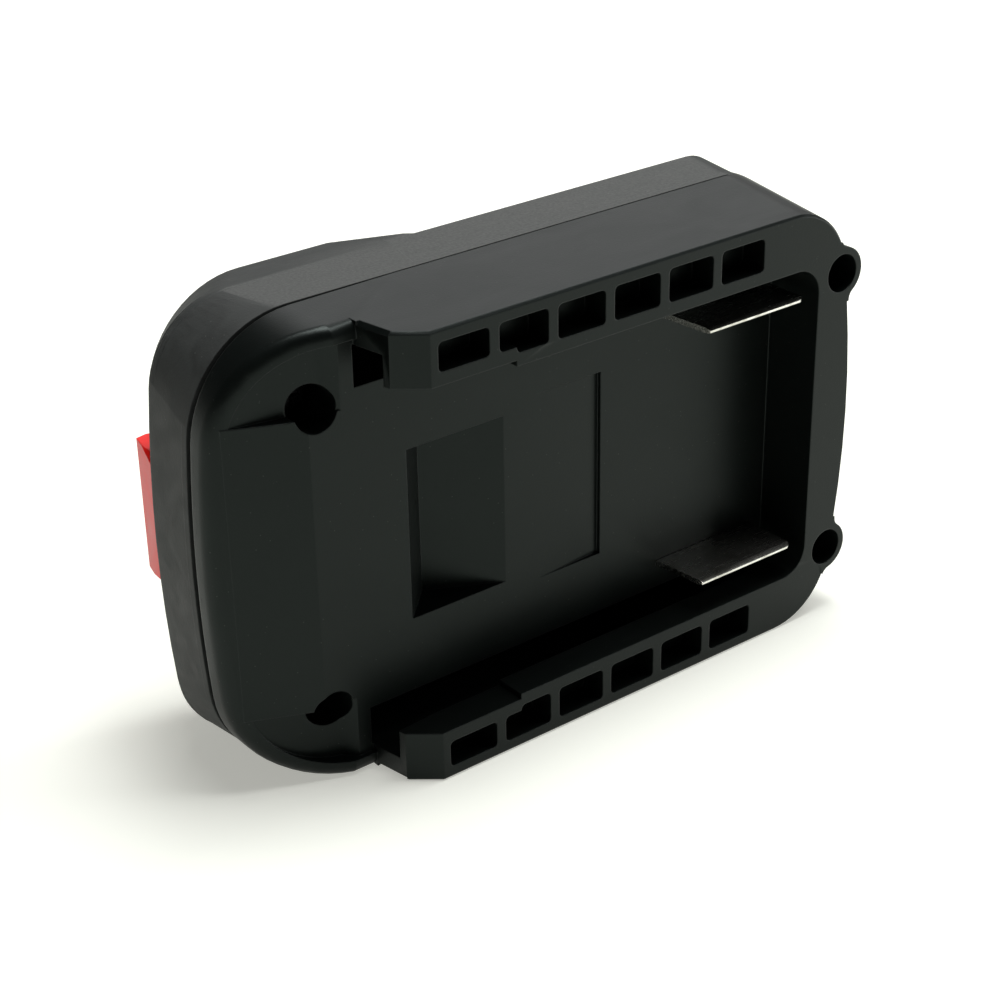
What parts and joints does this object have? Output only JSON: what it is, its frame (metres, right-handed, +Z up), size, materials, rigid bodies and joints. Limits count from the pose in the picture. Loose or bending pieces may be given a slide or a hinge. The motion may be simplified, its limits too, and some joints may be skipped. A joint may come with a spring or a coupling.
{
  "type": "battery adapter",
  "caption": "Black slide-on battery adapter for a cordless tool, with pocketed rails, contact blades and a red release button.",
  "frame": {"origin": "middle of the overall box in X and Y, at the height of the lower rail's outer face, which the part stands on", "axes": "+X along the rails from the latch end to the closed end with the screw ears, +Y from the battery side to the tool side, +Z up across the rails"},
  "size_m": [0.123, 0.0516, 0.08],
  "materials": {
    "shell_plastic": "black glass-filled nylon, fine spark-eroded grain",
    "tool_side_plastic": "black nylon, coarser grain with a slight sheen",
    "button_plastic": "red moulded plastic, satin",
    "latch_plastic": "dark grey acetal",
    "carrier_plastic": "dark grey nylon",
    "blade_plate": "tinned brass strip, stamped",
    "clip_bronze": "spring bronze strip",
    "screw_steel": "black zinc plated steel",
    "spring_steel": "drawn music wire",
    "lead_red": "red silicone insulation",
    "lead_black": "black silicone insulation"
  },
  "bodies": {
    "housing": {"battery_side_shell": "shell_plastic", "tool_side_shell": "tool_side_plastic", "tool_rail_block": "tool_side_plastic", "rail_block_screws": "screw_steel", "latch_spring_upper": "spring_steel", "latch_spring_lower": "spring_steel", "blade_upper": "blade_plate", "blade_lower": "blade_plate", "blade_carrier": "carrier_plastic", "blade_carrier_screws": "screw_steel", "contact_clip_upper": "clip_bronze", "contact_clip_lower": "clip_bronze", "contact_carrier": "carrier_plastic", "contact_carrier_screws": "screw_steel", "lead_upper": "lead_red", "lead_lower": "lead_black", "shell_screws": "screw_steel"},
    "latch": {"release_button": "button_plastic", "latch_hook": "latch_plastic"}
  },
  "joints": [
    {"name": "latch_press", "type": "slide", "parent": "housing", "child": "latch", "axis": [0, -1, 0], "range_m": [0, 0.004], "stiffness_N_per_m": 1200, "springref_m": -0.003, "deforming": ["latch_spring_upper", "latch_spring_lower"]}
  ]
}
